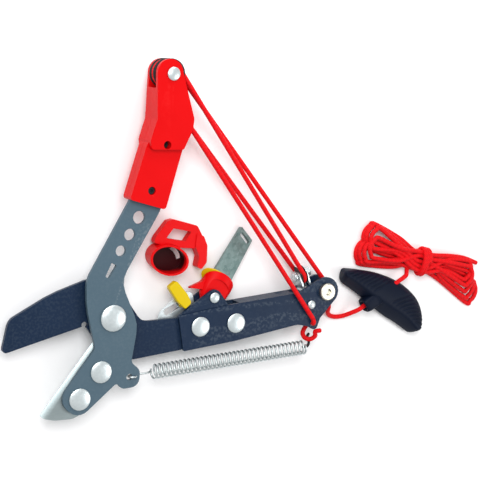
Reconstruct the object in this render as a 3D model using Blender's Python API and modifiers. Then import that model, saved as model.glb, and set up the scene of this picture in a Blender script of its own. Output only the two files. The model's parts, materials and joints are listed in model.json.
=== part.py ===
"""Rope-operated pole lopper head, lying on its back: frame and blade, jaw lever, rope tackle,
return spring, pole adapter, rope guide clip, pull handle and a hank of rope.

Lengths are in millimetres until they reach a mesh. The plan is X to the right, Y towards the
pulley head and Z up from the surface it lies on, with the main pivot on the plan's origin.
"""

import math

import bmesh
import bpy
from mathutils import Matrix, Vector

mm = 0.001

# Where the main pivot stands from the middle of the tool's own footprint
pivot_x, pivot_y = -69.02, -71.26

# Clearances
gap = 0.3            # between faces that touch
pin_gap = 0.3        # round a pin in its hole
rope_gap = 0.45      # round a rope in a groove or an eye

# Plate thicknesses and the stack, from the floor up
flange_thick = 3.0
bracket_inside = 14.0
bracket_low = 5.0
lever_thick = 4.4
blade_thick = 3.0
frame_thick = 4.0
bracket_back_top = bracket_low + flange_thick
bracket_front_low = bracket_back_top + bracket_inside
bracket_top = bracket_front_low + flange_thick
lever_top = bracket_front_low - gap
lever_low = lever_top - lever_thick
blade_low = lever_top + gap
blade_top = blade_low + blade_thick
frame_low = max(blade_top, bracket_top) + gap
frame_top = frame_low + frame_thick
bracket_mid = (bracket_back_top + bracket_front_low) / 2
tab_setback = 1.2

# Main pivot
pivot_radius = 5.7
pivot_head_radius = 12.3
pivot_head_height = 3.8
bush_radius = 9.5
washer_thick = 1.6
nut_height = 7.9
nut_radius = 11.0
locknut_height = 5.0

# Rivets and bolts
blade_rivet_radius = 4.0
blade_rivet_head = 10.2
blade_rivet_back = 7.0
blade_rivets = {"blade_rivet_upper": (-12.5, -48.6), "blade_rivet_lower": (-33.5, -71.5)}
bracket_rivet_radius = 4.0
bracket_rivet_head = 9.4
bracket_rivets = {"bracket_rivet_left": (89.5, -17.5), "bracket_rivet_right": (126.9, -17.6)}
spacer_radius = 6.5
rivet_head_height = 2.4

# Lever end
end_x, end_y = 226.0, 4.3
end_radius = 14.0
end_bolt_radius = 4.0
end_bolt_head = 8.4
end_bolt_head_height = 4.6
end_nut_radius = 7.6
cheek_rivet_x, cheek_rivet_y = end_x - 16.7, end_y - 11.7
cheek_rivet_radius = 3.0
cheek_rivet_head = 4.3
eye_x, eye_y = end_x - 14.6, end_y - 30.5

# Rope and pulleys
rope_radius = 2.25
head_x, head_y = 56.4, 219.1
head_rope_radius = 10.7
head_rim_radius = 13.6
end_rope_radius = 8.5
end_rim_radius = 10.4
end_pulley_width = 7.2
end_hub_width = 12.0
axle_radius = 3.0
axle_head_radius = 6.2

# Pulley head
head_depth = 28.0
sleeve_depth = 18.0
cheek_thick = 4.0
head_mid = (frame_low + frame_top) / 2
head_screws = {"head_screw_upper": (50.0, 155.5), "head_screw_lower": (36.4, 114.5)}
screw_radius = 2.0
screw_head_radius = 3.4
screw_head_height = 2.2
screw_sink = 1.6

# Pulley block
block_x, block_y = end_x - 23.0, end_y + 17.2
block_turn = math.radians(20)
block_rope_radius = 7.0
block_rim_radius = 9.3
block_pulley_width = 6.0
block_bolt_radius = 2.5
block_cheek_thick = 1.6

# Return spring
ear_x, ear_y = 15.3, -56.5
ear_hole_radius = 3.0
hook_x, hook_y = 203.0, -49.0
spring_z = 24.5
spring_radius = 6.4
spring_wire = 0.95
spring_turns = 38
spring_tail = 24.0

# Pole adapter
adapter_x, adapter_y = 104.9, 8.6
adapter_turn = math.radians(51.2)
adapter_dip = math.radians(10.1)
adapter_reach = 72.2
tongue_base_width = 22.0
tongue_tip_width = 18.0
tongue_thick = 3.5
ferrule_radius = 16.0
ferrule_depth = 10.4
adapter_pin_radius = 3.0
adapter_pin_head = 5.1

# Angle lock
lock_thick = 2.6
slot_start = (58.9, -2.0)
slot_end = (74.6, 5.0)
slot_half_width = 3.3
lock_pin_radius = 2.8
knob_thick = 7.2

# Rope guide clip
clip_x, clip_y = 63.2, 48.0
clip_radius = 19.2
clip_flat = 0.75
clip_wall = 2.4
clip_height = 17.0
clip_lean = math.radians(8)

# Pull handle
grip_height = 22.0
handle_bore = rope_radius + 0.75
handle_mouth = (279.0, -17.4)
handle_back = (327.5, 8.4)


def metres(point):
    return Vector(point) * mm


def turn_about_z(angle):
    return Matrix.Rotation(angle, 4, "Z")


def place(x, y, z):
    return Matrix.Translation(metres((x, y, z)))


def along(start, end):
    """A frame at start whose Z axis points to end."""
    direction = metres(end) - metres(start)
    return Matrix.Translation(metres(start)) @ direction.to_track_quat("Z", "Y").to_matrix().to_4x4()


def point_on(centre, radius, degrees):
    angle = math.radians(degrees)
    return centre[0] + radius * math.cos(angle), centre[1] + radius * math.sin(angle)


def arc(centre, radius, first, last, pieces):
    steps = range(pieces + 1)
    return [point_on(centre, radius, first + (last - first) * i / pieces) for i in steps]


def rounded(corners):
    """An outline from corners (x, y, radius), each with an arc no longer than its edges allow."""
    outline = []
    for i, (x, y, radius) in enumerate(corners):
        here = Vector((x, y))
        before = Vector(corners[i - 1][:2]) - here
        after = Vector(corners[(i + 1) % len(corners)][:2]) - here
        half = before.angle(after) / 2
        reach = min(radius / math.tan(half), 0.49 * before.length, 0.49 * after.length)
        if reach < 0.05:
            outline.append((x, y))
            continue
        radius = reach * math.tan(half)
        start = here + before.normalized() * reach
        end = here + after.normalized() * reach
        centre = here + (before.normalized() + after.normalized()).normalized() * radius / math.sin(half)
        turn = math.pi - 2 * half
        pieces = max(1, math.ceil(math.degrees(turn) / 20))
        for k in range(pieces + 1):
            spoke = (start - centre).slerp(end - centre, k / pieces)
            outline.append(tuple(centre + spoke.normalized() * radius))
    return outline


def smooth_curve(route, spacing):
    """Points about one spacing apart on a smooth curve through the route's points."""
    points = [Vector(p) for p in route]
    ends = [2 * points[0] - points[1]] + points + [2 * points[-1] - points[-2]]
    curve = [points[0]]
    for a, b, c, d in zip(ends, ends[1:], ends[2:], ends[3:]):
        pieces = max(1, round((c - b).length / spacing))
        for k in range(1, pieces + 1):
            t = k / pieces
            bend = (2 * b, c - a, 2 * a - 5 * b + 4 * c - d, 3 * b - a - 3 * c + d)
            curve.append((bend[0] + bend[1] * t + bend[2] * t * t + bend[3] * t**3) / 2)
    return curve


for old in list(bpy.data.objects):
    bpy.data.objects.remove(old, do_unlink=True)

parts = bpy.data.collections.new("pole_lopper_head")
cutters = bpy.data.collections.new("cutters")
bpy.context.scene.collection.children.link(parts)
bpy.context.scene.collection.children.link(cutters)
cutters.hide_render = True

bench = bpy.data.objects.new("bench", None)
bench.location = metres((pivot_x, pivot_y, 0))
parts.objects.link(bench)

finishes = {
    "grey_paint": ((0.098, 0.150, 0.190), 0.42, 0.3),
    "navy_paint": ((0.016, 0.034, 0.072), 0.38, 0.3),
    "blade_steel": ((0.55, 0.62, 0.63), 0.28, 1.0),
    "zinc": ((0.72, 0.78, 0.77), 0.3, 0.9),
    "red_plastic": ((0.83, 0.004, 0.008), 0.3, 0.0),
    "black_plastic": ((0.012, 0.013, 0.016), 0.45, 0.0),
    "rope": ((0.74, 0.008, 0.012), 0.7, 0.0),
    "spring_steel": ((0.6, 0.64, 0.63), 0.3, 1.0),
    "galvanised": ((0.23, 0.33, 0.32), 0.45, 0.8),
    "yellow_plastic": ((0.87, 0.68, 0.015), 0.35, 0.0),
    "brassy_steel": ((0.55, 0.5, 0.4), 0.35, 1.0),
    "grip_plastic": ((0.007, 0.012, 0.03), 0.5, 0.0),
}
materials = {}
for finish, (colour, roughness, metallic) in finishes.items():
    material = bpy.data.materials.new(finish)
    material.use_nodes = True
    shader = material.node_tree.nodes["Principled BSDF"]
    shader.inputs["Base Color"].default_value = (*colour, 1)
    shader.inputs["Roughness"].default_value = roughness
    shader.inputs["Metallic"].default_value = metallic
    materials[finish] = material


def add(name, data, finish=None, matrix=Matrix()):
    """A part when it has a finish, otherwise a cutter."""
    obj = bpy.data.objects.new(name, data)
    (parts if finish else cutters).objects.link(obj)
    obj.parent = bench
    obj.matrix_local = matrix
    if finish:
        data.materials.append(materials[finish])
    else:
        obj.hide_render = True
        obj.display_type = "WIRE"
    return obj


def mesh_from(curve):
    """The curve's filled shape as a closed mesh."""
    holder = bpy.data.objects.new("outline", curve)
    bpy.context.scene.collection.objects.link(holder)
    graph = bpy.context.evaluated_depsgraph_get()
    mesh = bpy.data.meshes.new_from_object(holder.evaluated_get(graph))
    bpy.data.objects.remove(holder)
    shape = bmesh.new()
    shape.from_mesh(mesh)
    bmesh.ops.remove_doubles(shape, verts=shape.verts, dist=0.000002)
    bmesh.ops.recalc_face_normals(shape, faces=shape.faces)
    shape.to_mesh(mesh)
    shape.free()
    return mesh


def plate(name, outline, low, high, finish=None, holes=(), matrix=Matrix()):
    """A flat plate from low to high. Each hole is (x, y, radius) or an outline."""
    curve = bpy.data.curves.new(name, "CURVE")
    curve.dimensions = "2D"
    curve.fill_mode = "BOTH"
    curve.extrude = (high - low) / 2 * mm
    loops = [outline]
    for hole in holes:
        is_round = isinstance(hole[0], (int, float))
        loops.append(arc(hole[:2], hole[2], 0, 340, 17) if is_round else hole)
    for loop in loops:
        spline = curve.splines.new("POLY")
        spline.points.add(len(loop) - 1)
        for target, (x, y) in zip(spline.points, loop):
            target.co = (x * mm, y * mm, 0, 1)
        spline.use_cyclic_u = True
    matrix = matrix @ place(0, 0, (low + high) / 2)
    return add(name, mesh_from(curve), finish, matrix)


def turned(name, profile, matrix, finish=None, sides=20, ring=False):
    """A solid of revolution about its own Z. The profile (radius, height) runs top to bottom."""
    mesh = bpy.data.meshes.new(name)
    edges = [(i, i + 1) for i in range(len(profile) - 1)]
    if ring:
        edges.append((len(profile) - 1, 0))
    mesh.from_pydata([(r * mm, 0, z * mm) for r, z in profile], edges, [])
    obj = add(name, mesh, finish, matrix)
    screw = obj.modifiers.new("turn", "SCREW")
    screw.steps = screw.render_steps = sides
    screw.use_merge_vertices = True
    screw.merge_threshold = 0.00001
    screw.use_smooth_shade = True
    return obj


def bar(name, points, radius, finish, detail=2):
    """A round wire or rope through the points."""
    curve = bpy.data.curves.new(name, "CURVE")
    curve.dimensions = "3D"
    curve.bevel_depth = radius * mm
    curve.bevel_resolution = detail
    curve.use_fill_caps = True
    spline = curve.splines.new("POLY")
    spline.points.add(len(points) - 1)
    for target, point in zip(spline.points, points):
        target.co = (*metres(point), 1)
    obj = bpy.data.objects.new(name, curve)
    parts.objects.link(obj)
    obj.parent = bench
    curve.materials.append(materials[finish])
    return obj


def cut(obj, tool):
    change = obj.modifiers.new("cut " + tool.name, "BOOLEAN")
    change.operation = "DIFFERENCE"
    change.object = tool


def join(obj, tool):
    change = obj.modifiers.new("join " + tool.name, "BOOLEAN")
    change.operation = "UNION"
    change.object = tool


def domed(radius, height, base):
    """The profile of a low round head, from its crown down to its rim at base."""
    edge = 0.35 * height
    angles = [math.radians(22.5 * k) for k in range(4)]
    crown = [(radius * math.sin(a), math.cos(a)) for a in angles]
    return [(r * 0.96, base + edge + (height - edge) * z) for r, z in crown] + [
        (radius, base + edge),
        (radius, base),
    ]


def rivet(name, x, y, low, high, shank, head, back, finish="zinc"):
    """A rivet through a stack from low to high, with its heads a gap outside it."""
    top = domed(head, rivet_head_height, high + gap)
    bottom = [(r, low - gap - (z - high - gap)) for r, z in domed(back, rivet_head_height, high + gap)]
    profile = top + [(shank, high + gap), (shank, low - gap)] + bottom[::-1]
    return turned(name, profile, place(x, y, 0), finish)


def hexagon_nut(name, x, y, low, high, radius, bore, finish="zinc"):
    corners = arc((0, 0), radius, 0, 300, 5)
    return plate(name, corners, low, high, finish, [(0, 0, bore)], place(x, y, 0))


# Frame plate: pulley head end at the top, blade seat and spring ear at the bottom


def neck(margin):
    """The end of the frame plate inside the head, grown by a margin."""
    top_left = (head_x - 26.4 - margin, head_y - 72.1 + margin, 4)
    top_right = (head_x + 6.1 + margin, head_y - 79.6 + margin, 4)
    return top_left, top_right


frame_outline = rounded([
    *neck(0),
    (47.4, 94.8, 20), (8.3, 33, 22), (24.4, -8, 30), (17.3, -43, 5),
    (ear_x + 10.8, ear_y + 5.5, 8), (ear_x + 9.2, ear_y - 9.7, 9.2), (ear_x - 8.5, ear_y - 10.4, 8.5),
    (3.2, -60.2, 4), (-35.3, -90.5, 13), (-53.9, -71.7, 13), (-17.5, -26.5, 6),
    (-25.2, 12, 50), (-24.8, 36.5, 22), (17.6, 105.7, 12),
])
slot_outline = rounded([(-0.6, 50.7, 1), (4.4, 47.8, 1), (-3.6, 36.3, 1), (-6.9, 38.5, 1)])
frame_plate = plate(
    "frame_plate", frame_outline, frame_low, frame_top, "grey_paint",
    [(26.7, 90.1, 6.0), (17.4, 75.0, 5.5), (8.4, 60.8, 5.0), slot_outline,
     (0, 0, pivot_radius + pin_gap), (ear_x, ear_y, ear_hole_radius),
     *[(x, y, blade_rivet_radius + pin_gap) for x, y in blade_rivets.values()],
     (*head_screws["head_screw_lower"], screw_radius + pin_gap)],
)

# Cutting blade, ground to an edge along its upper left side
edge_root = Vector((-16.0, -20.0, blade_low))
edge_tip = Vector((-69.2, -83.2, blade_low))
bevel_width = 6.5
land = 0.35
cutting_blade = plate(
    "cutting_blade",
    rounded([(edge_root.x, edge_root.y, 2), (edge_tip.x, edge_tip.y, 1), (-67.0, -86.4, 2),
             (-56.7, -89.4, 12), (-38.0, -90.2, 14), (-20.0, -80.5, 8), (-1.0, -56.0, 8),
             (3.0, -34.0, 8), (-5.0, -20.5, 4)]),
    blade_low, blade_top, "blade_steel",
    [(x, y, blade_rivet_radius + pin_gap) for x, y in blade_rivets.values()],
)
edge_turn = math.atan2(edge_tip.y - edge_root.y, edge_tip.x - edge_root.x)
edge_length = (edge_tip - edge_root).length
bevel_slope = math.atan2(blade_thick - land, bevel_width)
grinder = plate(
    "blade_bevel_cutter",
    [(-15, -20), (edge_length + 15, -20), (edge_length + 15, 20), (-15, 20)], 0, 12,
    matrix=place(edge_root.x, edge_root.y, blade_low + land) @ turn_about_z(edge_turn)
    @ Matrix.Rotation(bevel_slope, 4, "X"),
)
cut(cutting_blade, grinder)
for name, (x, y) in blade_rivets.items():
    rivet(name, x, y, blade_low, frame_top, blade_rivet_radius, blade_rivet_head, blade_rivet_back)

# Jaw and lever arm in one plate
lever_plate = plate(
    "lever_plate",
    rounded([(-20, 36.2, 30), (-8, 36.5, 12), (12, 22, 14), (31, -7.7, 12), (150, -9.0, 3),
             (150, -27, 3), (70, -38.5, 30), (20, -42.5, 20), (-8, -36, 14), (-17.5, -16, 5),
             (-24.0, -6.0, 2), (-103.3, -24.8, 3.5), (-95.5, 5.5, 12), (-56, 25.2, 80)]),
    lever_low, lever_top, "navy_paint",
    [(0, 0, pivot_radius + pin_gap),
     *[(x, y, bracket_rivet_radius + pin_gap) for x, y in bracket_rivets.values()]],
)
jaw_notch = turned(
    "jaw_notch_cutter", [(0, 10), (3, 10), (3, -10), (0, -10)],
    place(-24.6, -5.4, lever_low), sides=16,
)
cut(lever_plate, jaw_notch)

# Main pivot: bolt, bush between the plates, washer, nut and locknut
washer_top = lever_low - gap
nut_top = washer_top - washer_thick - gap
locknut_top = nut_top - nut_height - gap
pivot_head = domed(pivot_head_radius, pivot_head_height, frame_top + gap)
turned("pivot_bolt", pivot_head + [(pivot_radius, frame_top + gap), (pivot_radius, 0), (0, 0)],
       place(0, 0, 0), "zinc")
bore = pivot_radius + pin_gap
turned("pivot_bush", [(bush_radius, frame_low - gap), (bush_radius, lever_top + gap),
                      (bore, lever_top + gap), (bore, frame_low - gap)],
       place(0, 0, 0), "zinc", ring=True)
turned("pivot_washer", [(nut_radius + 1, washer_top), (nut_radius + 1, washer_top - washer_thick),
                        (bore, washer_top - washer_thick), (bore, washer_top)],
       place(0, 0, 0), "zinc", ring=True)
hexagon_nut("pivot_nut", 0, 0, nut_top - nut_height, nut_top, nut_radius, bore)
hexagon_nut("pivot_locknut", 0, 0, locknut_top - locknut_height, locknut_top, nut_radius, bore)

# Lever bracket: two flanges folded down from a web along their top edge


def flange_outline():
    end = (end_x, end_y)
    left = [(67.4, -5.4, 1), (71.9, -39.4, 1.5), (125.8, -35, 60), (end_x - 31.7, -25.8, 20),
            (eye_x - 5.6, eye_y - 2.4, 4), (eye_x + 3.2, eye_y - 8.2, 5), (eye_x + 8.2, eye_y + 4.6, 6)]
    top = [(end_x - 30, 5.5, 4), (120, 0.4, 3)]
    wheel = [(x, y, 0) for x, y in arc(end, end_radius, -35, 118, 9)]
    return rounded(left + wheel + top)


def tab_outline():
    crown = [(x, y, 0) for x, y in arc((adapter_x, adapter_y), 7.6, 128, 28, 6)]
    return rounded([(68.4, -6.6, 0.5), (68.2, -5.2, 0.5)] + crown + [(120.5, -1, 2), (118, -6, 2)])


flange_holes = [
    *[(x, y, bracket_rivet_radius + pin_gap) for x, y in bracket_rivets.values()],
    (end_x, end_y, end_bolt_radius + pin_gap),
    (cheek_rivet_x, cheek_rivet_y, cheek_rivet_radius + pin_gap),
    (eye_x, eye_y, rope_radius + rope_gap),
]
tab_hole = (adapter_x, adapter_y, adapter_pin_radius + pin_gap)
tab_front_low = bracket_front_low - tab_setback
tab_back_top = bracket_back_top + tab_setback
lever_bracket = plate("lever_bracket", flange_outline(), bracket_front_low, bracket_top,
                      "navy_paint", flange_holes)
bracket_back = plate("bracket_back_flange", flange_outline(), bracket_low, bracket_back_top,
                     holes=flange_holes)
bracket_web = plate("bracket_web", [(132, -1.9), (end_x - 34, 1.9), (end_x - 34, 5.2), (132, 1.3)],
                    bracket_low + 1, bracket_top - 1)
front_tab = plate("bracket_front_tab", tab_outline(), tab_front_low, tab_front_low + flange_thick,
                  holes=[tab_hole])
back_tab = plate("bracket_back_tab", tab_outline(), tab_back_top - flange_thick, tab_back_top,
                 holes=[tab_hole])
for tool in (bracket_web, bracket_back, front_tab, back_tab):
    join(lever_bracket, tool)
lock_top = lever_low - gap
lock_low = lock_top - lock_thick
for name, (x, y) in bracket_rivets.items():
    rivet(name, x, y, bracket_low, bracket_top, bracket_rivet_radius, bracket_rivet_head, 7.0)
    top = (lock_low if name == "bracket_rivet_left" else lever_low) - gap
    inner = bracket_rivet_radius + pin_gap
    turned(name.replace("rivet", "spacer"),
           [(spacer_radius, top), (spacer_radius, bracket_back_top + gap),
            (inner, bracket_back_top + gap), (inner, top)],
           place(x, y, 0), "zinc", 20, ring=True)
rivet("cheek_rivet", cheek_rivet_x, cheek_rivet_y, bracket_low, bracket_top, cheek_rivet_radius,
      cheek_rivet_head, cheek_rivet_head)


def sheave(name, rope_at, rim, width, bore_radius, matrix, hub_width=None):
    """A grooved pulley. Its groove holds a rope whose centre runs at rope_at."""
    half = width / 2
    hub = (hub_width or width) / 2
    groove = [(rope_at - (rope_radius + rope_gap) * math.cos(math.radians(a)),
               (rope_radius + rope_gap) * math.sin(math.radians(a))) for a in (60, 30, 0, -30, -60)]
    lip = min(half - 0.3, rope_radius + rope_gap + 0.9)
    profile = [(bore_radius + 2.2, hub), (bore_radius + 2.5, half), (rim, half - 0.2), (rim, lip),
               *groove, (rim, -lip), (rim, 0.2 - half), (bore_radius + 2.5, -half),
               (bore_radius + 2.2, -hub), (bore_radius, -hub), (bore_radius, hub)]
    return turned(name, profile, matrix, "black_plastic", 22, ring=True)


# Lever end: pulley, socket-head bolt and nut
sheave("end_pulley", end_rope_radius, end_rim_radius, end_pulley_width,
       end_bolt_radius + pin_gap, place(end_x, end_y, bracket_mid), end_hub_width)
head_base = bracket_top + gap
head_crown = head_base + end_bolt_head_height
end_bolt = turned(
    "end_bolt",
    [(0, head_crown), (end_bolt_head - 0.8, head_crown), (end_bolt_head, head_crown - 0.8),
     (end_bolt_head, head_base), (end_bolt_radius, head_base), (end_bolt_radius, 0.4), (0, 0.4)],
    place(end_x, end_y, 0), "brassy_steel",
)
socket = plate("end_bolt_socket", arc((0, 0), 3.4, 0, 300, 5), head_crown - 2.6, head_crown + 3,
               matrix=place(end_x, end_y, 0))
cut(end_bolt, socket)
hexagon_nut("end_nut", end_x, end_y, 0, bracket_low - gap, end_nut_radius,
            end_bolt_radius + pin_gap)

# Pulley head: two shell halves round the frame plate, with the pulleys between their cheeks
cheek_inner_low = head_mid - head_depth / 2 + cheek_thick
cheek_inner_top = head_mid + head_depth / 2 - cheek_thick
cavity = plate(
    "pulley_cavity",
    [(head_x - 30, head_y - 12.5), (head_x - 11.5, head_y - 12.5), (head_x + 22.5, head_y - 60),
     (head_x + 60, head_y - 60), (head_x + 60, head_y + 30), (head_x - 30, head_y + 30)],
    cheek_inner_low, cheek_inner_top,
)
grown = neck(gap)
pocket = plate(
    "neck_pocket",
    [grown[0][:2], grown[1][:2], (47.6 + gap, 94.2), (43.3, 82), (9, 94), (17.2 - gap, 105.7)],
    frame_low - gap, frame_top + gap,
)
axle_hole = turned("head_axle_cutter", [(0, 60), (axle_radius + pin_gap, 60),
                                        (axle_radius + pin_gap, -20), (0, -20)],
                   place(head_x, head_y, 0))
head_face = head_mid + head_depth / 2
head_floor = head_mid - head_depth / 2
sleeve_face = head_mid + sleeve_depth / 2
sleeve_floor = head_mid - sleeve_depth / 2
screw_floor = sleeve_floor + 2.5
screw_tools = []
for name, (x, y) in head_screws.items():
    top = sleeve_face - screw_sink
    base = top - screw_head_height
    r = screw_radius + pin_gap
    wide = screw_head_radius + pin_gap
    screw_tools.append(turned(name + "_cutter", [
        (0, head_face + 5), (wide, head_face + 5), (wide, base - gap), (r, base - gap),
        (r, screw_floor - 1), (0, screw_floor - 1)], place(x, y, 0), sides=20))
    screw = turned(name, [(0, top), (screw_head_radius - 0.4, top), (screw_head_radius, top - 0.4),
                          (screw_head_radius, base), (screw_radius, base),
                          (screw_radius, screw_floor), (0, screw_floor)],
                   place(x, y, 0), "black_plastic", 20)
    recess = plate(name + "_recess", arc((0, 0), 1.7, 0, 300, 5), top - 1.4, top + 2,
                   matrix=place(x, y, 0))
    cut(screw, recess)


def upper_block(crown_x):
    """The pulley end of the head, with its round top centred on crown_x."""
    crown = [(x, y, 0) for x, y in arc((crown_x, head_y + 0.7), 12.6, 0, 180, 12)]
    return rounded(crown + [
        (head_x - 16.0, head_y - 40, 6), (head_x - 22.8, head_y - 59, 4), (head_x - 22, head_y - 67, 3),
        (head_x + 9.5, head_y - 68.5, 3), (head_x + 18.8, head_y - 51, 8),
        (head_x + 20.4, head_y - 41, 9),
    ])


sleeve_outline = rounded([
    (15.2, 107.6, 3), (49.8, 96.6, 3), (head_x + 10.6, head_y - 68.6, 4),
    (head_x + 8, head_y - 50, 2), (head_x - 15, head_y - 50, 2), (head_x - 24.6, head_y - 63.6, 4),
])
for half, crown_x, outside, near, sleeve_side in (
    ("front", head_x - 2.9, head_face, head_mid + gap / 2, sleeve_face),
    ("back", head_x - 0.4, head_floor, head_mid - gap / 2, sleeve_floor),
):
    shell = plate("head_shell_" + half, upper_block(crown_x), *sorted((near, outside)), "red_plastic")
    sleeve = plate(f"sleeve_{half}", sleeve_outline, *sorted((near, sleeve_side)))
    join(shell, sleeve)
    cut(shell, cavity)
    cut(shell, pocket)
    cut(shell, axle_hole)
    for tool in screw_tools:
        cut(shell, tool)
rivet("head_axle", head_x, head_y, head_floor, head_face, axle_radius, axle_head_radius,
      axle_head_radius)
pulley_width = (cheek_inner_top - cheek_inner_low) / 2 - 0.6
pulley_z = {
    "head_pulley_front": cheek_inner_top - 0.4 - pulley_width / 2,
    "head_pulley_back": cheek_inner_low + 0.4 + pulley_width / 2,
}
for name, z in pulley_z.items():
    sheave(name, head_rope_radius, head_rim_radius, pulley_width, axle_radius + pin_gap,
           place(head_x, head_y, z))

# Pulley block, hung on the cheek rivet: strap, sheave, bolt and nut
block_frame = place(block_x, block_y, bracket_mid) @ turn_about_z(block_turn)
across = block_frame @ Matrix.Rotation(math.radians(90), 4, "Y")
strap_inside = block_pulley_width / 2 + gap
strap_outside = strap_inside + block_cheek_thick
strap_half = 6.4
block_strap = plate(
    "block_strap",
    rounded([(x, y, 0) for x, y in arc((cheek_rivet_x, cheek_rivet_y), 6.4, 190, 350, 8)]
            + [(end_x - 14.5, end_y + 1, 2), (end_x - 14.2, end_y + 5.2, 2),
               (end_x - 24.4, end_y + 3.1, 2), (end_x - 24.2, end_y - 1, 2)]),
    bracket_mid - strap_half, bracket_mid + strap_half, "zinc",
    [(cheek_rivet_x, cheek_rivet_y, cheek_rivet_radius + pin_gap)],
)
for side in (-1, 1):
    inner, outer = sorted((side * strap_inside, side * strap_outside))
    ear = plate(
        f"strap_ear_{'left' if side < 0 else 'right'}",
        rounded([(-strap_half, -17.4, 0), (strap_half, -17.4, 0), (strap_half, 4.5, 4.5),
                 (-strap_half, 4.5, 4.5)]),
        inner, outer, holes=[(0, 0, block_bolt_radius + pin_gap)], matrix=across,
    )
    join(block_strap, ear)
# Slot for the end pulley's rim, which the strap swings past as the jaw closes
rivet_at = Vector((cheek_rivet_x, cheek_rivet_y))
rim_slot = end_pulley_width / 2 + 0.5
for k, swing in enumerate((-1, 8, 16, 24)):
    rim_at = rivet_at + Matrix.Rotation(math.radians(swing), 2) @ (Vector((end_x, end_y)) - rivet_at)
    relief = turned(f"strap_slot_{k}_cutter",
                    [(0, rim_slot), (end_rim_radius + 0.6, rim_slot),
                     (end_rim_radius + 0.6, -rim_slot), (0, -rim_slot)],
                    place(rim_at.x, rim_at.y, bracket_mid), sides=24)
    cut(block_strap, relief)
sheave("block_pulley", block_rope_radius, block_rim_radius, block_pulley_width,
       block_bolt_radius + pin_gap, across)
bolt_left = -strap_outside - gap
bolt_right = strap_outside + gap + 5.6
turned("block_bolt", [(0, bolt_right), (block_bolt_radius, bolt_right), (block_bolt_radius, bolt_left),
                      (4.6, bolt_left), (4.6, bolt_left - 2.2), (3.8, bolt_left - 2.8),
                      (0, bolt_left - 2.8)], across, "zinc", 20)
nut_base = strap_outside + gap
plate("block_nut", arc((0, 0), 4.9, 0, 300, 5), nut_base, nut_base + 4.2, "zinc",
      [(0, 0, block_bolt_radius + pin_gap)], across)

# Tackle: four straight lines between the head and the lever end, each in two halves


def tangent_point(centre, rope_at, towards, side):
    """Where a rope from a pulley leaves its groove on the given side, heading for a point."""
    direction = (Vector(towards) - Vector(centre)).normalized()
    across_line = Vector((direction.y, -direction.x)) * side
    return Vector(centre) + across_line * rope_at


def tackle_line(name, top, bottom):
    """One line from top to bottom: its upper half and its lower half."""
    top = Vector(top)
    bottom = Vector(bottom)
    middle = (top + bottom) / 2
    nudge = (bottom - top).normalized() * gap / 2
    bar(name + "_upper", [top, middle - nudge], rope_radius, "rope")
    bar(name + "_lower", [middle + nudge, bottom], rope_radius, "rope")


head = (head_x, head_y)
end = (end_x, end_y)
right_of_head = tangent_point(head, head_rope_radius, end, -1)
left_of_head = tangent_point(head, head_rope_radius, end, 1)
right_of_end = tangent_point(end, end_rope_radius, head, 1)
block = (block_x, block_y)
z_front = pulley_z["head_pulley_front"]
z_back = pulley_z["head_pulley_back"]
strap_down = (Vector(block) - Vector(head)).normalized()
upper_gap = strap_down * 2.5
lower_end = Vector(block) - strap_down * (block_rim_radius + 1.5)
tackle_line("rope_line_a", (*(right_of_head + upper_gap), z_back), (*right_of_end, bracket_mid))
tackle_line("rope_line_b", (*(right_of_head + upper_gap), z_front),
            (*lower_end, bracket_mid + block_rope_radius + 0.6))
tackle_line("rope_line_c", (*(left_of_head + upper_gap), z_front),
            (eye_x - 1.6, eye_y + 5.2, bracket_top + rope_radius + 0.8))
tackle_line("rope_line_d", (*(left_of_head + upper_gap), z_back),
            (*lower_end, bracket_mid - block_rope_radius - 0.6))


def heading(a, b):
    return math.degrees(math.atan2(b[1] - a[1], b[0] - a[0]))


for name, z in (("head_wrap_front", z_front), ("head_wrap_back", z_back)):
    first = heading(head, right_of_head)
    points = arc(head, head_rope_radius, first + 1.5, first + 178.5, 16)
    bar(name, [(x, y, z) for x, y in points], rope_radius, "rope")
block_wrap = []
for k in range(9):
    angle = math.radians(80 - 20 * k)
    swing = Vector((0, -block_rope_radius * math.cos(angle), block_rope_radius * math.sin(angle)))
    block_wrap.append(block_frame @ (swing * mm) / mm)
bar("block_wrap", block_wrap, rope_radius, "rope")
end_wrap = arc(end, end_rope_radius, heading(end, right_of_end) - 2.5, -4, 5)
rope_exit = (end_x + 9.3, end_y - 8.5, bracket_mid - 0.6)
bar("end_wrap", [(x, y, bracket_mid) for x, y in end_wrap] + [rope_exit], rope_radius, "rope")

# Rope end: through the eye, round the spring hook and back on itself
knot_route = [
    (eye_x - 0.6, eye_y + 1.9, bracket_top + 3.0), (eye_x, eye_y, bracket_top + 0.8),
    (eye_x, eye_y, bracket_top - 3.0), (eye_x - 0.6, eye_y - 1.6, 17.0), (eye_x - 3.2, eye_y - 6.6, 14.2),
    (eye_x - 5.4, eye_y - 11.4, 14.5), (eye_x - 4.2, eye_y - 15.6, 17.4), (eye_x, eye_y - 16.6, 20.4),
    (eye_x + 4.0, eye_y - 13.4, 22.6), (eye_x + 3.2, eye_y - 8.6, 24.4), (eye_x + 7.6, eye_y - 7.0, 28.5),
]
bar("rope_anchor", smooth_curve(knot_route, 4), rope_radius, "rope")
hook_route = [
    (hook_x - 3.0, hook_y, spring_z), (hook_x + 2.2, hook_y + 0.2, spring_z - 0.6),
    (hook_x + 6.4, hook_y + 1.4, spring_z - 4.4), (hook_x + 9.2, hook_y + 3.6, spring_z - 8.6),
    (hook_x + 8.6, hook_y + 7.6, spring_z - 10.9), (hook_x + 12.0, hook_y + 9.4, spring_z - 13.5),
]

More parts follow.
